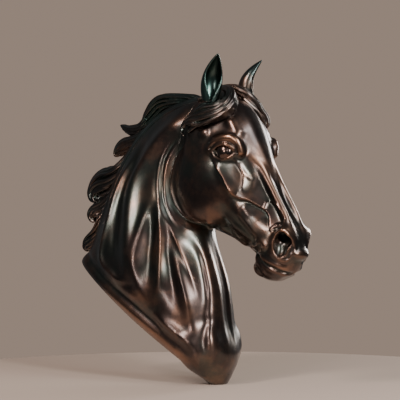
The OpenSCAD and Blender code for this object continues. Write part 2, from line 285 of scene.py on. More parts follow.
class Clay:
    """The left half of the form. Every call changes it near one place."""

    def __init__(self, field):
        self.field = field

    def window(self, low, high):
        """The cells between two corners, as slices of the field, and their places."""
        cut, axes = [], []
        for a in range(3):
            i = int(np.clip(np.floor((low[a] - LOW[a]) / CELL), 0, COUNT[a] - 2))
            j = int(np.clip(np.ceil((high[a] - LOW[a]) / CELL) + 1, i + 2, COUNT[a]))
            cut.append(slice(i, j))
            axes.append(AXES[a][i:j])
        return tuple(cut), np.meshgrid(*axes, indexing="ij", sparse=True)

    def side_window(self, points, reach):
        """The same round a line seen from the side, from the middle plane outwards."""
        (back, bottom), (front, top) = points.min(0) - reach, points.max(0) + reach
        return self.window((back, LOW[1], bottom), (front, HIGH[1], top))

    def merge(self, where, shape, blend, cut):
        shape = shape.astype(np.float32)
        old = self.field[where]
        self.field[where] = smooth_larger(old, -shape, blend) if cut else smooth_union(old, shape, blend)

    def blob(self, centre, radii, turn=(0, 0, 0), blend=5, cut=False):
        """Adds or cuts an egg shape, turned by degrees about x, then y, then z."""
        centre, radii = np.array(centre, float), np.array(radii, float)
        reach = radii.max() + blend + 3
        where, place = self.window(centre - reach, centre + reach)
        to_egg = np.array(Euler(np.radians(turn)).to_matrix()).T
        away = [place[k] - centre[k] for k in range(3)]
        p = [sum(row[k] * away[k] for k in range(3)) / r for row, r in zip(to_egg, radii)]
        k0 = np.sqrt(sum(part ** 2 for part in p)) + 1e-9
        k1 = np.sqrt(sum((part / r) ** 2 for part, r in zip(p, radii))) + 1e-9
        self.merge(where, k0 * (k0 - 1) / k1, blend, cut)

    def tube(self, points, radius, end_radius=None, blend=4, cut=False):
        """Adds or cuts a rod along a line."""
        points = rounded(points)
        end_radius = radius if end_radius is None else end_radius
        reach = max(radius, end_radius) + blend + 3
        where, place = self.window(points.min(0) - reach, points.max(0) + reach)
        far, u = line_distance(place, points)
        self.merge(where, far - (radius + (end_radius - radius) * u), blend, cut)

    def stroke(self, points, width, height, fade=0.15, mid=10, sharp=2):
        """Raises a ridge along a line seen from the side, or presses a groove where height is
        below 0. fade is the share of the line over which each end runs out."""
        points = rounded(points)
        where, (x, y, z) = self.side_window(points, STROKE_END * width + 1)
        far, u = line_distance((x, z), points)
        shape = np.exp(-(far / width) ** sharp) * both_ends(u, fade) * off_middle(y, mid)
        self.field[where] -= (height * shape).astype(np.float32)

    def ledge(self, points, height, reach, edge=1.5, fade=0.1, mid=10):
        """Raises the surface on the left of a line seen from the side, or sinks it where height
        is below 0. The step is crisp at the line and fades to nothing over reach."""
        points = rounded(points)
        where, (x, y, z) = self.side_window(points, (LEDGE_END + 0.2) * reach)
        far, u = line_distance((x, z), points)
        nearest = np.clip((u * (len(points) - 1)).astype(int), 0, len(points) - 2)
        start, end = points[nearest], points[nearest + 1]
        side = ((end[..., 0] - start[..., 0]) * (z - start[..., 1])
                - (end[..., 1] - start[..., 1]) * (x - start[..., 0]))
        signed = np.where(side > 0, far, -far)
        shape = smooth(0.5 + signed / (2 * edge)) * np.exp(-np.maximum(signed, 0) / reach)
        shape = shape * smooth(LEDGE_END - far / reach) * both_ends(u, fade) * off_middle(y, mid)
        self.field[where] -= (height * shape).astype(np.float32)


def big_forms(clay):
    """Muscles and bones that the sections don't give."""
    # round cheek
    clay.blob((3, 27, 268), (54, 22, 56), blend=5)
    # eye bulge
    clay.blob((45, 31, 311), (24, 15, 19), turn=(0, 12, 0), blend=9)
    # edge of the nasal bone
    clay.tube([(54, 22, 322), (72, 17, 299), (85, 12, 284), (97, 11, 265), (111, 11, 243), (123, 11, 224),
               (130, 11, 209), (137, 11, 193)], 6, 4.5, blend=5)
    # bump on the forehead
    clay.tube([(48, 27, 344), (58, 27, 330)], 6, blend=8)
    # nostril
    clay.blob((124, 15, 188), (15, 15, 23), turn=(0, 14, 0), blend=6)
    # chin
    clay.blob((80, 3, 158), (12, 12, 14), blend=5)
    # lower lip
    clay.blob((95, 3, 149), (18, 12, 9), turn=(0, 8, 0), blend=4)
    # upper lip
    clay.blob((118, 4, 162), (15, 15, 14), turn=(0, 30, 0), blend=6)
    # point of the shoulder
    clay.blob((-8, 31, 50), (24, 15, 28), blend=12)


def eye(clay):
    """The socket, the brow above it, and the lids and folds round the eyeball."""
    # brow
    clay.tube([(25, 41, 311), (33, 43, 318.5), (49, 44.5, 323.5), (61, 41.5, 323), (68, 37.5, 316),
               (70, 34, 305)], 4.8, 4.0, blend=7)
    # socket
    clay.blob((47, 56, 305.5), (18.5, 20, 11), turn=(0, 6, 0), blend=1.5, cut=True)
    # upper lid
    clay.tube([(29, 41, 307.5), (35, 44.5, 311.5), (45, 47, 315), (56, 46, 314.4),
               (63, 40, 308.5)], 2.1, blend=1.0)
    # lower lid
    clay.tube([(29, 41, 306.5), (35, 43.3, 299.5), (44, 44.6, 295.8), (55, 43.4, 297.2),
               (64, 38, 303)], 1.5, blend=1.5)
    # gap under the brow
    clay.tube([(26, 45, 310), (34, 47.8, 315.4), (45, 49.8, 318.6), (57, 48.4, 318.4), (65.5, 42, 312),
               (66.5, 38, 303)], 1.5, blend=1.0, cut=True)
    # crease under the lower lid
    clay.tube([(29, 46, 303), (35.5, 47.5, 295), (46, 47.5, 292.0),
               (58, 45, 293.7)], 1.1, blend=1, cut=True)


def muzzle(clay):
    """The nostril with its rim, the lips and the mouth."""
    # flare of the nostril
    clay.blob((130, 19, 195), (9, 8, 11), blend=5)
    # front of the upper lip
    clay.blob((139, 0, 174), (8.5, 15, 8), blend=4)
    clay.tube([(143, 0, 163), (137, 14, 164), (126, 22, 164)], 2.2, 1.2, blend=2, cut=True)
    ring = [(121, 27, 197), (128, 27, 203), (136, 24, 201.5), (139, 18, 194), (140.5, 12, 183),
            (137, 15, 173), (133, 17, 166), (127, 21, 166), (121, 24, 171), (117, 26, 179), (118, 28, 189),
            (121, 27, 197)]
    clay.tube(ring, 1.8, blend=2.5)
    clay.blob((130, 29, 185.5), (10.5, 15, 17.5), turn=(0, 6, -31), blend=1.0, cut=True)
    clay.tube([(132, 21, 190), (121, 12, 199)], 8, 5, blend=3, cut=True)
    clay.stroke([(88, 173), (104, 166), (120, 159), (132, 153)], 4, 1.8, mid=4)
    # mouth
    clay.stroke([(72, 180), (84, 171), (96, 163), (112, 156), (126, 150),
                 (135, 147)], 2.0, -4.5, fade=0.1, mid=4, sharp=1.5)
    clay.stroke([(64, 176), (76, 169), (86, 159), (96, 147)], 1.8, 1.8, mid=4, sharp=1.5)
    clay.stroke([(60, 170), (72, 163), (82, 153), (90, 144)], 3.0, -1.5, mid=4)
    clay.stroke([(110, 203), (115, 210), (123, 212)], 2.2, 2)
    clay.stroke([(125, 218), (131, 208), (134, 203)], 3, 2)
    clay.stroke([(112, 205), (117, 206), (126, 209)], 1.6, -1.8, sharp=1.5)
    clay.stroke([(66, 182), (84, 184), (98, 189), (108, 180)], 5, 3, sharp=1.5)


def neck_folds(clay):
    """Tendons and folds of the neck, as lines seen from the side."""
    # the long broad tendon under the mane, and the hollow behind it
    clay.stroke([(-24, 360), (-46, 348), (-67, 334), (-83, 318), (-96, 302), (-108, 284), (-114, 264),
                 (-115, 240), (-112, 205), (-109, 165), (-107, 128)], 14, 7, fade=0.12)
    clay.stroke([(-96, 326), (-124, 292), (-137, 268), (-141, 235), (-141, 198),
                 (-136, 158)], 9, -4.5, fade=0.2)
    clay.stroke([(-112, 318), (-138, 290), (-152, 258), (-158, 226), (-163, 198), (-166, 172), (-158, 157),
                 (-143, 148), (-126, 138), (-108, 138)], 6, 4, fade=0.2, sharp=1.7)
    # the spear-shaped hollow in the middle
    clay.stroke([(-74, 258), (-83, 232), (-91, 205), (-96, 176), (-96, 148), (-86, 122),
                 (-70, 106)], 8, 3.5, fade=0.3)
    clay.stroke([(-73, 238), (-76, 198), (-77, 162), (-72, 124)], 9, -6, fade=0.4)
    clay.stroke([(-72, 252), (-63, 225), (-58, 188), (-57, 145), (-62, 108)], 7, 4.5, fade=0.3, sharp=1.7)
    clay.stroke([(-57, 205), (-47, 165), (-38, 125), (-31, 92)], 9, -3.5, fade=0.4)
    # two tendons running down to the point of the shoulder
    clay.stroke([(-50, 196), (-34, 158), (-22, 126), (-14, 97), (-9, 55)], 9, 5, fade=0.4)
    clay.stroke([(-60, 232), (-46, 208), (-32, 182), (-18, 152), (-8, 122),
                 (-3, 96)], 4, 3.2, fade=0.45, sharp=1.5)
    clay.stroke([(-30, 205), (-16, 172), (-3, 132), (5, 92)], 7, -4, fade=0.4)
    # the fold above the rim of the cut
    clay.stroke([(-66, 98), (-50, 80), (-35, 67), (-20, 58), (-5, 54)], 9, 5, fade=0.35)
    # the windpipe's edge
    clay.stroke([(-18, 208), (-8, 178), (1, 145), (8, 113), (12, 80), (15, 45),
                 (13, 10)], 9, 4.5, fade=0.45)
    clay.stroke([(8, 197), (16, 165), (24, 125), (24, 85)], 6, -3, mid=4)
    # where the folds run together into the foot
    clay.stroke([(-26, 78), (-14, 56), (-5, 34), (-4, -14)], 8, 2, fade=0.4)
    clay.stroke([(-8, 120), (-2, 90), (3, 60), (5, 34), (4, -14)], 8, -2.6, fade=0.45)


def cheek_folds(clay):
    """The step round the back of the cheek, with soft folds in the neck behind it."""
    clay.ledge([(26, 213), (2, 211), (-20, 215), (-36, 227), (-47, 244), (-52, 266), (-48, 292), (-37, 311),
                (-17, 324)], -4.5, 9, edge=1.5)
    clay.stroke([(-14, 334), (-40, 321), (-56, 298), (-60, 270), (-55, 243), (-42, 220), (-26, 206),
                 (-8, 200)], 2.5, 1.3, fade=0.3, sharp=1.6)
    clay.stroke([(-20, 338), (-45, 324), (-62, 300), (-65, 270), (-60, 243), (-48, 218),
                 (-32, 202)], 2.2, -1.6, fade=0.3, sharp=1.6)
    clay.stroke([(-28, 343), (-52, 325), (-67, 300), (-70, 270), (-65, 243), (-55, 222),
                 (-40, 203)], 2.5, 1.1, fade=0.3, sharp=1.6)


def face_folds(clay):
    """The facial crest, and the veins and hollows of the face."""
    clay.stroke([(34, 296), (42, 281), (49, 268), (57, 256), (66, 250)], 6.5, 3.2, fade=0.25)
    clay.ledge([(108, 205), (103, 220), (97, 229), (87, 236), (77, 242), (67, 244), (59, 249), (53, 259),
                (47, 272), (36, 286), (28, 298), (23, 313)], -5, 13, edge=1.5, fade=0.12)
    clay.stroke([(61, 299), (66, 288), (72, 278), (80, 268)], 1.5, 1.2, sharp=1.5)
    clay.stroke([(66, 293), (70, 282), (72, 269), (71, 254)], 1.5, 1.2, sharp=1.5)
    clay.stroke([(69, 290), (77, 277), (79, 262), (77, 250)], 5, -1.5, fade=0.4)
    clay.stroke([(97, 230), (99, 242)], 1.5, 1.2)
    clay.stroke([(101, 242), (112, 237), (122, 229)], 1.5, 1.2)
    clay.stroke([(36, 230), (51, 213), (73, 196), (84, 188)], 6, 2.4, fade=0.3, sharp=1.7)
    clay.stroke([(60, 240), (70, 222), (86, 202), (98, 190)], 6, 2.4, fade=0.3, sharp=1.7)
    clay.stroke([(70, 238), (76, 230), (82, 218)], 5, 1.4, fade=0.4)
    clay.stroke([(6, 214), (24, 205), (46, 192), (62, 182)], 5, 3, sharp=1.5)
    clay.blob((38, 48, 338), (13, 9, 9), turn=(0, 20, 0), blend=6, cut=True)
    clay.blob((12, 39, 331), (8, 6, 7), blend=4)


# ---- the slanted cut at the base ----
CUT_START = NECK[0, 0:2]
CUT_LENGTH = float(np.linalg.norm(NECK[0, 2:4] - CUT_START))
CUT_ALONG = (NECK[0, 2:4] - CUT_START) / CUT_LENGTH
CUT_INTO = np.array([-CUT_ALONG[1], CUT_ALONG[0]])
# The toe's heel leaves the cut and runs down more steeply, to HEEL_X at the foot's face
HEEL_X = -9
HEEL_LEAN = math.radians(34)  # from upright
RIM_HEIGHT = 3.6
GROOVE_DEPTH = 2.6
# The recess for the cover plate: wall beside it, depth, and how far down the cut it goes
RECESS_WALL = 3
RECESS_DEPTH = 4.5
RECESS_END = 196


def on_cut(x, z):
    """Distance down the slope of the cut, and depth into the bust."""
    dx, dz = x - CUT_START[0], z - CUT_START[1]
    return dx * CUT_ALONG[0] + dz * CUT_ALONG[1], dx * CUT_INTO[0] + dz * CUT_INTO[1]


def cut_half_width(down):
    """Half the width of the neck's first section, the one that lies in the cut."""
    part = np.clip(down / CUT_LENGTH, 0, 1) ** (math.log(0.5) / math.log(NECK[0, 5]))
    return NECK[0, 4] * np.sqrt(np.clip(1 - (1 - 2 * part) ** 2, 0, 1)) ** NECK_FULLNESS


def rim(clay):
    """A rounded rim along the cut, with a shallow groove above it. Both broaden downwards."""
    down, depth = on_cut(X, Z)
    ends = smooth((down + 12) / 30) * smooth((CUT_LENGTH - 20 - down) / 40)
    swell = 0.45 + 0.55 * smooth((down - 60) / 90)
    edge = RIM_HEIGHT * swell * bell(depth - 4 - 4 * swell, 3 + 5 * swell)
    groove = GROOVE_DEPTH * bell(depth - 13 - 9 * swell, 4 + 2 * swell)
    clay.field -= ((edge - groove) * ends).astype(np.float32)
    heel = (X - HEEL_X) * math.cos(HEEL_LEAN) + Z * math.sin(HEEL_LEAN)
    clay.field = np.maximum(clay.field, -np.maximum(depth, heel).astype(np.float32))


def recess():
    """Where the cover plate lies in the cut: below 0 inside."""
    down, depth = on_cut(X, Z)
    sides = np.maximum(depth - RECESS_DEPTH, np.abs(Y) - cut_half_width(down) + RECESS_WALL)
    return np.maximum(sides, np.maximum(RECESS_WALL - down, down - RECESS_END))


# ---- the seams that part the castings ----
# The head's seam runs round the foot of the cheek's step, which is an oval, then below the
# jaw and, behind the ear, up a leaning line to the crest
CHEEK_X, CHEEK_Z = 3, 269.5
CHEEK_LENGTH, CHEEK_HEIGHT = 56.5, 59
THROAT_Z, CHIN_X = 209.5, 38
LEAN_X = -53.5
LEAN_TURN = math.atan2(37, 130)
# The head's turn fades out over TURN_BAND across the seam, whose corners are rounded for it
TURN_BAND = 40
TURN_BLEND = 24
FOOT_HEIGHT = 14
SOCKET_RADIUS = 4.25
SOCKET_DEPTH = 24
BOSS_RADIUS = 10
BOSS_BOTTOM = FOOT_HEIGHT - 3
BOSS_TOP = 29


def head_side(x, z, blend=0.1):
    """Over 0 where a point belongs to the head casting: about its distance from the seam."""
    cheek = CHEEK_HEIGHT * (1 - np.hypot((x - CHEEK_X) / CHEEK_LENGTH, (z - CHEEK_Z) / CHEEK_HEIGHT))
    face = smooth_larger(smooth_union(x - CHEEK_X, z - THROAT_Z, blend), x - CHIN_X, blend)
    lean = (x - LEAN_X) * math.cos(LEAN_TURN) - (z - CHEEK_Z) * math.sin(LEAN_TURN)
    poll = smooth_union(lean, z - CHEEK_Z, blend)
    return smooth_larger(smooth_larger(cheek, face, blend), poll, blend)


# ---- bending and turning ----
def neck_bend(z):
    """The share of the head's turn that the neck takes up at a height."""
    return smooth((z - 150) / 240)


def turn_share(points):
    """How far each place on the castings follows the head's turn."""
    bend = neck_bend(points[:, 2])
    return bend + (1 - bend) * smooth(0.5 + head_side(points[:, 0], points[:, 2], TURN_BLEND) / TURN_BAND)


def head_turn(points, weight):
    """Turns points with the head, by a share of the whole turn at each."""
    angle = np.radians(-TURN * weight)
    x, y = points[:, 0] - TURN_AXIS_X, points[:, 1]
    return np.stack([TURN_AXIS_X + x * np.cos(angle) - y * np.sin(angle),
                     x * np.sin(angle) + y * np.cos(angle), points[:, 2]], 1)


# ---- reading a field of distances ----
def sample(field, points, cell, low=None):
    """The field's values at points. Without low, it is the castings' field, one half of it."""
    if low is None:
        at = np.stack([points[:, 0] - LOW[0], np.abs(points[:, 1]), points[:, 2] - LOW[2]], 1) / cell
    else:
        at = (points - low) / cell
    at = np.clip(at, 0, np.array(field.shape) - 1.001)
    i = at.astype(int)
    t = at - i
    value = 0
    for corner in np.ndindex(2, 2, 2):
        weight = np.abs(1 - np.array(corner) - t).prod(1)
        value = value + weight * field[tuple((i + corner).T)]
    return value


def gradient(field, points, cell):
    """The direction away from the castings at points, of length 1."""
    out = np.empty_like(points)
    for axis in range(3):
        step = np.zeros(3)
        step[axis] = 1.5 * cell
        out[:, axis] = sample(field, points + step, cell) - sample(field, points - step, cell)
    return unit_rows(out)


# ---- pieces ----
def add_object(name, data):
    piece = bpy.data.objects.new(name, data)
    bpy.context.scene.collection.objects.link(piece)
    return piece


def add_mesh(name, points, face_groups, facts=None):
    """A smooth-shaded mesh object in metres, from points in design mm, already in place.
    facts holds a number for each point under each name."""
    faces = [face for group in face_groups for face in group.tolist()]
    mesh = bpy.data.meshes.new(name)
    mesh.from_pydata((points * SCALE).tolist(), [], faces)
    mesh.validate()
    mesh.shade_smooth()
    for key, values in (facts or {}).items():
        layer = mesh.attributes.new(key, "FLOAT", "POINT")
        layer.data.foreach_set("value", np.asarray(values, np.float32))
    return add_object(name, mesh)


def finish_piece(piece, node, material):
    piece.data.materials.append(material)
    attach(piece, "root")
    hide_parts(node)


# ---- material ----
def ramp(tree, value, stops):
    """A colour ramp on a value; each stop is a place and a colour."""
    node = tree.nodes.new("ShaderNodeValToRGB")
    node.color_ramp.elements.remove(node.color_ramp.elements[1])
    node.color_ramp.elements[0].position = stops[0][0]
    node.color_ramp.elements[0].color = (*stops[0][1], 1)
    for place, colour in stops[1:]:
        node.color_ramp.elements.new(place).color = (*colour, 1)
    tree.links.new(value, node.inputs["Fac"])
    return node.outputs["Color"]


def mask(tree, value, start, end, most):
    """A share that rises from 0 where value is start to most where it is end."""
    return ramp(tree, value, [(start, (0, 0, 0)), (end, (most, most, most))])


def maths(tree, operation, *values):
    node = tree.nodes.new("ShaderNodeMath")
    node.operation = operation
    for socket, value in zip(node.inputs, values):
        if isinstance(value, (int, float)):
            socket.default_value = value
        else:
            tree.links.new(value, socket)
    return node.outputs[0]


def add(tree, a, b):
    return maths(tree, "ADD", a, b)


def scaled(tree, value, factor, middle=0.0):
    """How far value is from middle, times factor."""
    return maths(tree, "MULTIPLY_ADD", value, factor, -middle * factor)


def mix(tree, share, a, b):
    node = tree.nodes.new("ShaderNodeMix")
    node.data_type = "RGBA"
    tree.links.new(share, node.inputs["Factor"])
    for socket, value in ((node.inputs[6], a), (node.inputs[7], b)):
        if isinstance(value, tuple):
            socket.default_value = (*value, 1)
        else:
            tree.links.new(value, socket)
    return node.outputs[2]


def noise(tree, scale, detail=4.0):
    place = tree.nodes.new("ShaderNodeTexCoord")
    node = tree.nodes.new("ShaderNodeTexNoise")
    node.inputs["Scale"].default_value = scale
    node.inputs["Detail"].default_value = detail
    node.inputs["Roughness"].default_value = 0.6
    tree.links.new(place.outputs["Object"], node.inputs["Vector"])
    return node.outputs["Fac"]


def fact(tree, name):
    node = tree.nodes.new("ShaderNodeAttribute")
    node.attribute_name = name
    return node.outputs["Fac"]


DARK_BROWN = (0.070, 0.044, 0.036)
WARM_BROWN = (0.17, 0.092, 0.060)
COPPER = (0.44, 0.235, 0.14)
GREEN_FILM = (0.035, 0.105, 0.085)
VERDIGRIS = (0.045, 0.105, 0.085)
# painted shade: the near black that is mixed into the deepest hollows
PAINTED_SHADE_BLACK = (0.012, 0.012, 0.012)


def height_of_relief(tree, relief, clouds):
    """How exposed a place is: above 0 on ridges and where it is rubbed, below 0 in hollows."""
    if relief:
        high = add(tree, scaled(tree, fact(tree, "ridge"), 0.30), scaled(tree, fact(tree, "broad"), 0.11))
    else:
        edges = tree.nodes.new("ShaderNodeNewGeometry")
        high = scaled(tree, edges.outputs["Pointiness"], 4.0, 0.5)
    high = add(tree, high, scaled(tree, fact(tree, "worn"), 0.6))
    return add(tree, high, scaled(tree, clouds, 0.7, 0.5))


def bronze(name, body=DARK_BROWN, rubbed=COPPER, green=0.36, shine=0.31, relief=True):
    """Patinated bronze: dark brown, rubbed to copper on ridges, green in hollows, and painted shade that
    darkens the deepest hollows to black.
    """
    material = bpy.data.materials.new(name)
    material.use_nodes = True
    tree = material.node_tree
    shader = tree.nodes["Principled BSDF"]
    clouds = noise(tree, 22, 5)
    specks = noise(tree, 140)
    high = height_of_relief(tree, relief, clouds)
    # the brown itself, with a thin green film in patches, and painted shade: black deep in the hollows
    shadow_brown = tuple(0.55 * c for c in body)
    dark = ramp(tree, clouds, [(0.3, shadow_brown), (0.5, body), (0.66, WARM_BROWN)])
    patches = add(tree, noise(tree, 12), scaled(tree, high, -0.25))
    dark = mix(tree, mask(tree, patches, 0.45, 0.62, green), dark, GREEN_FILM)
    # painted shade: black mixed in where the surface is hollow, up to 0.75 in the deepest hollows
    dark = mix(tree, mask(tree, scaled(tree, high, -1.0), 0.15, 1.0, 0.75), dark, PAINTED_SHADE_BLACK)
    # copper on what is rubbed, and verdigris in the hollows
    colour = mix(tree, mask(tree, high, 0.15, 0.95, 0.85), dark, rubbed)
    hollow = add(tree, scaled(tree, high, -1.0), scaled(tree, noise(tree, 30), 1.2, 0.5))
    patina = mask(tree, hollow, 0.25, 0.75, green)
    colour = mix(tree, patina, colour, VERDIGRIS)
    tree.links.new(colour, shader.inputs["Base Color"])
    shader.inputs["Metallic"].default_value = 1.0
    rough = add(tree, scaled(tree, specks, 0.16), shine - 0.08)
    rough = add(tree, rough, scaled(tree, patina, 0.5))
    tree.links.new(rough, shader.inputs["Roughness"])
    # a coat of wax
    shader.inputs["Coat Weight"].default_value = 0.9
    shader.inputs["Coat Roughness"].default_value = 0.26
    bump = tree.nodes.new("ShaderNodeBump")
    bump.inputs["Strength"].default_value = 0.12
    bump.inputs["Distance"].default_value = 0.001
    tree.links.new(specks, bump.inputs["Height"])
    tree.links.new(bump.outputs["Normal"], shader.inputs["Normal"])
    return material


skin = bronze("bronze_skin")
hair_bronze = bronze("bronze_hair", body=(0.075, 0.060, 0.052), rubbed=(0.46, 0.32, 0.24), green=0.8)
ear_bronze = bronze("bronze_ear", body=(0.045, 0.075, 0.070), rubbed=(0.34, 0.24, 0.17), green=0.9)
eye_bronze = bronze("bronze_eye", body=(0.10, 0.055, 0.04), green=0.0, shine=0.2, relief=False)
plate_bronze = bronze("bronze_plate", relief=False)
brass = bronze("brass_screws", body=(0.30, 0.20, 0.09), rubbed=(0.85, 0.62, 0.30), green=0.1, relief=False)


# ---- the castings ----
def shape_castings():
    field = smooth_union(loft_distance(neck_rings()), loft_distance(toe_rings()), 16)
    field = smooth_union(field, loft_distance(head_rings()), 8)
    clay = Clay(field)
    big_forms(clay)
    clay.field = blur(clay.field, 2)
    neck_folds(clay)
    cheek_folds(clay)
    face_folds(clay)
    eye(clay)
    muzzle(clay)
    rim(clay)
    return blur(clay.field, 1)


# Lines where hands and cloths have rubbed the patina thin: x and z of their points, width, strength
WORN = [
    ([(62, 312), (74, 300), (91, 286), (104, 268), (120, 246), (132, 227),
      (138, 210), (141, 196)], 4, 0.8),
    ([(30, 318), (49, 325), (62, 324), (69, 314)], 5, 0.7),
    ([(-57, 215), (-47, 165), (-38, 120), (-31, 88)], 9, 0.4),
    ([(-98, 310), (-104, 270), (-104, 205), (-100, 150)], 6, 0.3),
]
RIM_WORN = 0.75  # strength along the rim of the cut


def worn(points):
    """How much the patina is rubbed at each point of the castings, 0 to about 1."""
    x, z = points[:, 0], points[:, 2]
    down, depth = on_cut(x, z)
    most = RIM_WORN * bell(depth - 7, 8) * smooth((down - 40) / 80) * smooth((CUT_LENGTH - 15 - down) / 30)
    for line, width, strength in WORN:
        far, along = line_distance((x, z), rounded(line))
        most = np.maximum(most, strength * both_ends(along, 0.15) * bell(far, width))
    return most


def split_castings(form):
    """The three castings as fields: head, neck and foot block."""
    seam = head_side(X, Z)
    lap = 0.6 * CELL  # the castings' corners come out a little rounded, so they lap
    from_axis = np.hypot(X, Y)
    socket = np.maximum(from_axis - SOCKET_RADIUS, Z - SOCKET_DEPTH)
    boss = np.maximum(from_axis - BOSS_RADIUS, np.maximum(Z - BOSS_TOP, BOSS_BOTTOM - Z))
    neck = np.maximum(form, -recess())
    neck = neck + 0.5 * smooth(0.5 + seam / (2 * lap))  # the neck's edge dips under the head's
    neck = np.maximum(np.maximum(neck, seam - lap), FOOT_HEIGHT - Z - lap)
    foot = np.minimum(np.maximum(form, Z - FOOT_HEIGHT - lap), boss)
    return {
        "head_casting": np.maximum(form, -seam - lap),
        "neck_casting": np.maximum(neck, -boss),
        "foot_block": np.maximum(foot, -socket),
    }


def castings(form):
    soft = blur(form, 6)
    coarse = blur(np.ascontiguousarray(form[::2, ::2, ::2]), 14)
    form = np.maximum(form, -Z).astype(np.float32)
    for name, half in split_castings(form).items():
        used = np.argwhere(half < 0)
        first, last = np.maximum(used.min(0) - 3, 0), np.minimum(used.max(0) + 4, half.shape)
        half = half[first[0]:last[0], 0:last[1], first[2]:last[2]].astype(np.float32)
        whole = np.concatenate([half[:, :0:-1], half], 1)
        low = np.array([AXES[0][first[0]], -CELL * (half.shape[1] - 1), AXES[2][first[2]]])
        points, quads = surface(whole, low, CELL)
        here = sample(form, points, CELL)
        facts = {
            "ridge": sample(soft, points, CELL) - here,
            "broad": sample(coarse, points, 2 * CELL) - here,
            "worn": worn(points),
        }
        piece = add_mesh(name, head_turn(points, turn_share(points)), [quads], facts)
        finish_piece(piece, name, skin)


# ---- hair ----
TUBE_SIDES = 8
STATIONS = 44
HAIR_BAND = 6  # cells on each side of the hair's surface that hold true distances


def tube_mesh(centre, radius, first, second):
    """Points and faces of a closed tube: rings round centre, spanned by two directions."""
    angle = turns(TUBE_SIDES)
    ring = (first[:, None] * np.cos(angle)[None, :, None] * radius[0][:, None, None]
            + second[:, None] * np.sin(angle)[None, :, None] * radius[1][:, None, None])
    points = np.concatenate([(centre[:, None] + ring).reshape(-1, 3), centre[:1], centre[-1:]])
    return points, *stack_faces(len(centre), TUBE_SIDES)


def lock(line_a, line_b, thickness, count, twist=0.0, thin=None, seed=0):
    """A lock of hair between two guide lines: strands side by side round a flat core, which
    run to one tip. thin is the direction of the lock's thickness."""
    draw = np.random.default_rng(seed)
    s = np.linspace(0, 1, STATIONS)
    a = catmull(line_a, s * (len(line_a) - 1))
    b = catmull(line_b, s * (len(line_b) - 1))
    middle, half = (a + b) / 2, (b - a) / 2
    width = np.maximum(np.linalg.norm(half, axis=1), 0.4) * np.minimum(1, 8 * (1.03 - s)) ** 0.5
    tangent = unit_rows(np.gradient(middle, axis=0))
    # where the guide lines have met, the lock keeps its last direction across
    for j in range(1, STATIONS):
        if np.linalg.norm(half[j]) < 1.5:
            half[j] = half[j - 1]
    wide = unit_rows(half - tangent * np.sum(half * tangent, 1)[:, None])
    if thin is None:
        thin = np.cross(tangent, wide)
    thick = thickness * np.minimum(1, 0.5 + 2.5 * s) * (1.02 - s) ** 0.4
    around = 2 * math.pi * np.sqrt((width ** 2 + thick ** 2) / 2)
    core = 0.86
    tubes = [tube_mesh(middle[:-2], (core * width[:-2], core * thick[:-2]), wide[:-2], thin[:-2])]
    for i in range(count):
        angle = 2 * math.pi * ((i + 0.5 + 0.3 * draw.uniform(-1, 1)) / count + twist * s)
        sway = 1 + 0.10 * np.sin(2 * math.pi * (1.3 * s + draw.uniform(0, 1)))
        centre = (middle + wide * (width * np.cos(angle) * sway)[:, None]
                  + thin * (thick * np.sin(angle) * sway)[:, None])
        end = draw.uniform(0.86, 1.0)
        fill = draw.uniform(0.36, 0.62)
        radius = fill * around / count * np.sqrt(np.clip((end + 0.02 - s) / 0.3, 0.004, 1))
        keep = s <= end + 0.02
        along = unit_rows(np.gradient(centre, axis=0))
        first = unit_rows(np.cross(along, thin))
        second = np.cross(first, along)
        tubes.append(tube_mesh(centre[keep], (radius[keep], radius[keep]), first[keep], second[keep]))
    return tubes


def fused(tubes, cell):
    """One closed surface round all the tubes, with the ridge facts of its points."""
    points, quads, caps, count = [], [], [], 0
    for p, q, c in tubes:
        points.append(p)
        quads.append(q + count)
        caps.append(c + count)
        count += len(p)
    points, quads, caps = np.concatenate(points), np.concatenate(quads), np.concatenate(caps)
    start = np.floor(points.min(0) / cell).astype(int) - HAIR_BAND - 1
    size = np.ceil(points.max(0) / cell).astype(int) + HAIR_BAND + 2 - start
    low = start * cell
    field = blur(distances(points, quads, caps, cell, HAIR_BAND, start, size), 1)
    soft, coarse = blur(field, 4), blur(field, 14)
    points, quads = surface(field, low, cell)
    here = sample(field, points, cell, low)
    ridge = (sample(soft, points, cell, low) - here) * 1.2
    return points, quads, {"ridge": ridge, "broad": sample(coarse, points, cell, low) - here}


def on_skin(form, line, height):
    """Moves a line's points to a height over the castings."""
    line = np.array(line, float)
    for _ in range(4):
        away = height - sample(form, line, CELL)
        line = line + gradient(form, line, CELL) * away[:, None]
    return line


def side_of(line, side):
    return [(x, side * y, z) for x, y, z in line]


# Guide lines of the hair; y of the forelock's is the distance from the middle plane
FORELOCK_OUTER = [(3, 2, 392), (21, 3, 390), (35, 7, 379), (45, 15, 367), (44, 24, 358), (34, 32, 353),
                  (17, 35, 350), (-2, 37, 347), (-16, 38, 341), (-19, 41, 332), (-10, 44, 324)]
FORELOCK_MIDDLE = [(-3, 3, 390), (18, 8, 384), (30, 15, 375), (30, 25, 365), (18, 32, 359), (-2, 34, 356),
                   (-18, 34, 352), (-25, 37, 345), (-24, 40, 335), (-12, 44, 324)]
FORELOCK_INNER = [(-8, 4, 387), (8, 14, 380), (11, 22, 373), (4, 28, 367), (-8, 30, 362), (-22, 32, 356)]
FORELOCK_UNDER = [(38, 6, 374), (44, 18, 360), (38, 30, 350), (22, 38, 345), (6, 40, 342), (-6, 42, 337),
                  (-12, 44, 330)]
FORELOCK_FAR_OUTER = [(5, 2, 391), (24, 3, 389), (36, 8, 380), (44, 18, 371), (50, 28, 364), (54, 37, 358),
                      (52, 44, 350), (44, 47, 341), (38, 47, 334)]
FORELOCK_FAR_INNER = [(-2, 4, 388), (14, 12, 382), (24, 22, 373), (30, 30, 364), (36, 38, 355),
                      (40, 43, 347), (39, 46, 340), (38, 47, 334)]
FORELOCK_FAR_UNDER = [(38, 5, 374), (46, 16, 362), (52, 26, 354), (54, 36, 347), (50, 43, 341),
                      (44, 46, 336)]

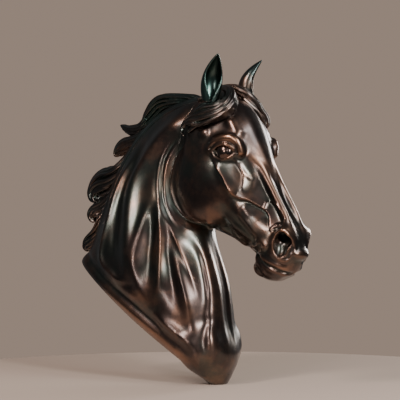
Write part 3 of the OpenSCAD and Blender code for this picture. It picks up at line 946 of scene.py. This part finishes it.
CROWN_EDGE = [(-22, 18, 380), (-8, 14, 384), (8, 8, 388), (24, 2, 386)]

# Two guide lines, thickness, count of strands and twist
MANE_LOCKS = {
    "mane_lock_poll": (
        [(-26, 2, 380), (-48, 2, 389), (-71, 2, 392), (-99, 2, 394), (-115, 2, 388), (-128, 2, 375),
         (-134, 2, 363), (-146, 2, 354), (-166, 3, 353), (-182, 4, 357), (-190, 4, 358)],
        [(-26, 2, 372), (-50, 2, 376), (-84, 2, 375), (-106, 2, 367), (-118, 2, 354), (-132, 2, 344),
         (-149, 2, 340), (-170, 3, 342), (-184, 4, 349), (-190, 4, 356)], 11, 14, 0.25),
    "mane_lock_crest": (
        [(-104, 2, 366), (-132, 2, 350), (-154, 2, 340), (-176, 4, 335), (-190, 5, 326), (-195, 5, 317),
         (-187, 5, 310)],
        [(-108, 2, 346), (-134, 2, 330), (-156, 2, 322), (-172, 4, 317), (-182, 5, 313),
         (-184, 5, 310)], 10, 12, 0.2),
    "mane_lock_upper": (
        [(-140, 1, 334), (-163, 1, 312), (-180, 1, 299), (-198, 2, 291), (-216, 4, 286), (-227, 5, 276),
         (-230, 5, 263), (-225, 5, 251), (-214, 4, 244), (-207, 3, 243)],
        [(-146, 1, 304), (-162, 1, 282), (-176, 1, 268), (-192, 2, 262), (-204, 4, 259), (-210, 5, 252),
         (-208, 4, 245)], 12, 15, 0.2),
    "mane_lock_middle": (
        [(-172, 4, 284), (-190, 6, 264), (-205, 7, 250), (-217, 7, 241), (-223, 6, 231), (-220, 6, 221),
         (-211, 5, 213)],
        [(-172, 4, 256), (-184, 6, 242), (-198, 7, 233), (-206, 6, 227), (-208, 6, 218)], 10, 12, 0.2),
    "mane_lock_lower": (
        [(-182, 2, 250), (-194, 2, 229), (-202, 3, 213), (-211, 4, 202), (-220, 5, 194), (-224, 5, 185),
         (-219, 5, 178), (-211, 5, 179)],
        [(-178, 2, 222), (-188, 2, 203), (-198, 3, 192), (-206, 4, 185), (-211, 5, 180)], 10, 12, 0.2),
    "mane_lock_withers": (
        [(-190, 2, 222), (-204, 3, 203), (-216, 4, 193), (-222, 4, 185), (-219, 4, 178), (-213, 4, 175)],
        [(-186, 2, 200), (-198, 3, 186), (-208, 4, 179), (-212, 4, 176)], 8, 10, 0.2),
}
MANE_FALLS = {
    "mane_fall_poll": [(-46, 6, 384), (-62, 26, 374), (-80, 38, 354), (-98, 43, 332), (-118, 46, 312),
        (-132, 50, 292)],
    "mane_fall_upper": [(-98, 8, 370), (-110, 28, 352), (-124, 40, 328), (-140, 45, 304), (-156, 50, 286),
        (-164, 55, 266)],
    "mane_fall_middle": [(-134, 8, 342), (-146, 30, 320), (-157, 42, 296), (-168, 48, 272), (-180, 53, 254),
        (-184, 57, 234)],
    "mane_fall_lower": [(-160, 8, 304), (-168, 30, 282), (-176, 43, 258), (-184, 50, 238), (-194, 52, 218),
        (-195, 55, 200)],
    "mane_fall_withers": [(-178, 8, 260), (-184, 28, 238), (-191, 40, 218), (-198, 46, 202),
        (-206, 47, 188)],
}
FALL_SPREAD = np.array([11.0, 0, 7.0])


def skin_lock(form, line_a, line_b, height, thickness, count, twist=0.0, seed=0):
    """A lock that lies on the castings."""
    line_a, line_b = on_skin(form, line_a, height), on_skin(form, line_b, height)
    s = np.linspace(0, 1, STATIONS)
    middle = (catmull(line_a, s * (len(line_a) - 1)) + catmull(line_b, s * (len(line_b) - 1))) / 2
    return lock(line_a, line_b, thickness, count, twist, gradient(form, middle, CELL), seed)


def add_hair(name, tubes, with_head):
    points, quads, facts = fused(tubes, HAIR_CELL)
    weight = 1.0 if with_head else neck_bend(points[:, 2])
    piece = add_mesh(name, head_turn(points, weight), [quads], facts)
    finish_piece(piece, name, hair_bronze)


def forelock(form):
    """The crown between the ears, and two locks to each side that lie one over the other."""
    right, left = -1, 1
    crown = []
    for side in (right, left):
        crown += skin_lock(form, side_of(FORELOCK_MIDDLE[:7], side), side_of(FORELOCK_INNER, side),
                           2, 3, 10, seed=3)
    crown += skin_lock(form, side_of(CROWN_EDGE, right), side_of(CROWN_EDGE, left), 2, 4, 12, seed=4)
    add_hair("forelock_crown", crown, True)
    # two guide lines, side, height over the castings, thickness, count of strands and twist
    locks = {
        "forelock_right_upper": (FORELOCK_OUTER, FORELOCK_MIDDLE, right, 6.5, 6, 12, 0.1),
        "forelock_right_lower": (FORELOCK_UNDER, FORELOCK_OUTER[2:10], right, 2, 3, 10, 0),
        "forelock_left_upper": (FORELOCK_FAR_OUTER, FORELOCK_FAR_INNER, left, 8.5, 8, 11, 0.1),
        "forelock_left_lower": (FORELOCK_FAR_UNDER, FORELOCK_FAR_OUTER[2:8], left, 2, 3, 10, 0),
    }
    for seed, (name, (a, b, side, *sizes)) in enumerate(locks.items(), 5):
        add_hair(name, skin_lock(form, side_of(a, side), side_of(b, side), *sizes, seed), True)


def neck_line(angle_start, angle_end, height, form, first_row, phase):
    """A wavy line down the crest, at an angle round each section from the crest."""
    row = catmull(NECK, np.linspace(9.0, first_row, 14))
    s = np.linspace(0, 1, len(row))
    angle = np.radians(angle_start + (angle_end - angle_start) * s) + 0.03 * np.sin(6 * s + phase)
    line = row[:, 0:2] + (row[:, 2:4] - row[:, 0:2]) * neck_share(angle, row[:, 5])[:, None]
    y = -row[:, 4] * signed_power(np.sin(angle), NECK_FULLNESS)
    return on_skin(form, np.stack([line[:, 0], y, line[:, 1]], 1), height)


def mane(form):
    """Long strands along the crest, the locks that stand out behind, and the far side's falls."""
    root = []
    for strip in range(7):
        angle = -30 + 8 * strip
        fall = max(0, strip - 4)  # the strips nearest the right side start higher and lie lower
        first_row = 1.2 + 0.25 * fall
        height = 0.5 - 0.4 * fall
        a = neck_line(angle, angle - 4, height, form, first_row, strip)
        b = neck_line(angle + 9, angle + 3, height - 0.4, form, first_row, strip + 0.6)
        root += lock(a, b, 2.6 - 0.5 * fall, 8, 0.1, seed=20 + strip)
    add_hair("mane_root", root, False)
    for seed, (name, (a, b, thickness, count, twist)) in enumerate(MANE_LOCKS.items(), 40):
        add_hair(name, lock(a, b, thickness, count, twist, seed=seed), False)
    for seed, (name, line) in enumerate(MANE_FALLS.items(), 60):
        line = np.array(line, float)
        tubes = skin_lock(form, line + FALL_SPREAD, line - FALL_SPREAD, 3, 6, 13, 0.1, seed)
        add_hair(name, tubes, False)


# ---- ears and eyes ----
EAR_BASE = np.array([17.0, 36, 374])
EAR_TIP = np.array([39.0, 44, 433])
EAR_OUT = np.array([0.82, 0.57, 0])  # the way it opens
EAR_HALF_WIDTH = 13.5
EAR_WALL = 2.5
EYE_CENTRE = np.array([46.5, 34.8, 306])
EYE_RADIUS = 13.6
EYE_AXIS = np.array([0.25, 0.97, 0])  # the way it looks
EYE_ACROSS = np.array([0.97, -0.25, 0])
EYE_UP = np.array([0.0, 0, 1])


def ear(side):
    """A cupped leaf, open forwards and outwards, with a rolled rim."""
    h = np.linspace(0, 1, 40)[:, None]
    length = np.linalg.norm(EAR_TIP - EAR_BASE)
    up = (EAR_TIP - EAR_BASE) / length
    face = EAR_OUT - up * (EAR_OUT @ up)
    face /= np.linalg.norm(face)
    wide = np.cross(up, face)
    half = EAR_HALF_WIDTH * np.sin(np.pi * (0.16 + 0.84 * h) ** 0.85).clip(0) ** 0.8 + 0.6
    opening = np.radians(18 + 56 * smooth(h * 1.5))
    turn = opening + np.linspace(0, 1, 36)[None, :] * (2 * np.pi - 2 * opening)

    def at(angle, radius):
        middle = EAR_BASE + up * (length * h)[..., None] - face * (7 * np.sin(np.pi * h))[..., None]
        return (middle + face * (radius * 0.85 * np.cos(angle))[..., None]
                + wide * (radius * np.sin(angle))[..., None])

    wall = EAR_WALL * (1 - 0.35 * h)
    ring = np.concatenate([at(turn, half), at(turn, np.maximum(half - wall, 0.25))[:, ::-1]], 1)
    m, n = ring.shape[:2]
    strip = np.arange(n // 2 - 1)
    end = np.stack([strip, n - 1 - strip, n - 2 - strip, strip + 1], 1)
    quads = np.concatenate([stack_faces(m, n)[0], end, (m - 1) * n + end[:, ::-1]])
    parts = [(ring.reshape(-1, 3), quads, np.zeros((0, 3), int))]
    for edge in (0, -1):
        roll = at(turn, half - wall / 2)[:, edge]
        along = unit_rows(np.gradient(roll, axis=0))
        first = unit_rows(np.cross(along, np.tile(face, (m, 1))))
        thick = 1.0 + 0.5 * (1 - h[:, 0])
        parts.append(tube_mesh(roll, (thick, thick), first, np.cross(first, along)))
    points, quads, facts = fused(parts, EAR_CELL)
    points[:, 1] *= side
    name = "left_ear" if side > 0 else "right_ear"
    piece = add_mesh(name, head_turn(points, 1.0), [quads[:, ::side]], facts)
    finish_piece(piece, name, ear_bronze)


def eyeball(side):
    """A ball with a slightly raised front and a shallow ring round the pupil."""
    rings, sides = 47, 64
    polar = np.pi * np.arange(1, rings + 1) / (rings + 1)
    radius = EYE_RADIUS * (1 + 0.03 * bell(polar, 0.5) - 0.02 * bell(polar - 0.55, 0.07))
    turn = turns(sides)
    round_axis = EYE_ACROSS * np.cos(turn)[:, None] + EYE_UP * np.sin(turn)[:, None]
    out = EYE_AXIS * np.cos(polar)[:, None, None] + round_axis[None] * np.sin(polar)[:, None, None]
    points = (EYE_CENTRE + out * radius[:, None, None]).reshape(-1, 3)
    poles = [EYE_CENTRE + EYE_AXIS * radius[0], EYE_CENTRE - EYE_AXIS * radius[-1]]
    points = np.concatenate([points, poles])
    points[:, 1] *= side
    faces = [group[:, ::-side] for group in stack_faces(rings, sides)]
    name = "left_eye" if side > 0 else "right_eye"
    piece = add_mesh(name, head_turn(points, 1.0), faces)
    finish_piece(piece, name, eye_bronze)


# ---- floor, camera, lights ----
FLOOR_RADIUS = 0.5
CAMERA_HEIGHT = 0.197
CAMERA_DISTANCE = 1.8
CAMERA_TURN = math.radians(30)  # from straight at the right side, towards the front
AIM = (-0.02, 0, 0.22)  # what the lights point at
LIGHT_DISTANCE = 1.8
# Each light: azimuth and elevation, size, power and colour
LIGHTS = {
    "key": ((30, 20), (0.22, 0.6), 26, (1, 0.95, 0.92)),
    "left": ((-42, 36), (0.25, 0.6), 19, (1, 0.86, 0.81)),
    "top": ((50, 44), (0.6, 0.25), 8, (0.96, 0.98, 1)),
    "front": ((-25, 8), (0.12, 0.5), 6, (1, 0.88, 0.84)),
    "rim": ((140, 15), (0.5, 0.8), 13, (1, 0.95, 0.9)),
}


def make_floor():
    mesh = bpy.data.meshes.new("floor")
    edge = [(FLOOR_RADIUS * math.cos(turn), FLOOR_RADIUS * math.sin(turn), 0) for turn in turns(120)]
    mesh.from_pydata(edge, [], [range(len(edge))])
    floor = add_object("floor", mesh)
    floor.location.z = -0.0002  # just under the foot, so that the two faces don't fight
    paint = bpy.data.materials.new("floor_paint")
    paint.use_nodes = True
    shader = paint.node_tree.nodes["Principled BSDF"]
    shader.inputs["Base Color"].default_value = (0.45, 0.375, 0.32, 1)
    shader.inputs["Roughness"].default_value = 0.8
    mesh.materials.append(paint)


def make_camera():
    data = bpy.data.cameras.new("camera")
    data.lens = 121.3
    data.sensor_width = 36
    data.shift_x = -0.0425
    data.shift_y = 0.09
    camera = add_object("camera", data)
    camera.location = (CAMERA_DISTANCE * math.sin(CAMERA_TURN), -CAMERA_DISTANCE * math.cos(CAMERA_TURN),
                       CAMERA_HEIGHT)
    camera.rotation_euler = (math.pi / 2, 0, CAMERA_TURN)
    bpy.context.scene.camera = camera


def around(azimuth, elevation):
    """A place round the object: azimuth 0 is above the camera, and 90 is to its right."""
    a, e = math.radians(azimuth), math.radians(elevation)
    right, up, near = math.cos(e) * math.sin(a), math.sin(e), math.cos(e) * math.cos(a)
    c, s = math.cos(CAMERA_TURN), math.sin(CAMERA_TURN)
    away = (c * right + s * near, s * right - c * near, up)
    return [AIM[k] + LIGHT_DISTANCE * away[k] for k in range(3)]


def softbox(name, place, size, power, colour):
    """A rectangular light at a place, turned to AIM."""
    data = bpy.data.lights.new(name, "AREA")
    data.shape = "RECTANGLE"
    data.size, data.size_y = size
    data.energy = power
    data.color = colour
    light = add_object(name, data)
    light.location = place
    aim = [AIM[k] - place[k] for k in range(3)]
    flat = math.hypot(aim[0], aim[1])
    light.rotation_euler = (math.atan2(flat, -aim[2]), 0, math.atan2(aim[1], aim[0]) - math.pi / 2)


def make_world():
    """A warm backdrop, and a darker grey room that only the bronze reflects."""
    world = bpy.data.worlds.new("studio")
    world.use_nodes = True
    sky = world.node_tree
    backdrop = sky.nodes["Background"]
    backdrop.inputs["Color"].default_value = (0.345, 0.262, 0.212, 1)
    backdrop.inputs["Strength"].default_value = 0.9
    room = sky.nodes.new("ShaderNodeBackground")
    room.inputs["Color"].default_value = (0.30, 0.30, 0.31, 1)
    room.inputs["Strength"].default_value = 0.22
    path = sky.nodes.new("ShaderNodeLightPath")
    choose = sky.nodes.new("ShaderNodeMixShader")
    sky.links.new(path.outputs["Is Glossy Ray"], choose.inputs["Fac"])
    sky.links.new(backdrop.outputs["Background"], choose.inputs[1])
    sky.links.new(room.outputs["Background"], choose.inputs[2])
    sky.links.new(choose.outputs["Shader"], sky.nodes["World Output"].inputs["Surface"])
    bpy.context.scene.world = world


form = shape_castings()
castings(form)
forelock(form)
mane(form)
for side in (-1, 1):
    ear(side)
    eyeball(side)
for node, material in (("cover_plate", plate_bronze), ("cover_screws", brass)):
    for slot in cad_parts[node].material_slots:
        slot.material = material

make_floor()
make_camera()
for name, (direction, size, power, colour) in LIGHTS.items():
    softbox(name, around(*direction), size, power, colour)
make_world()
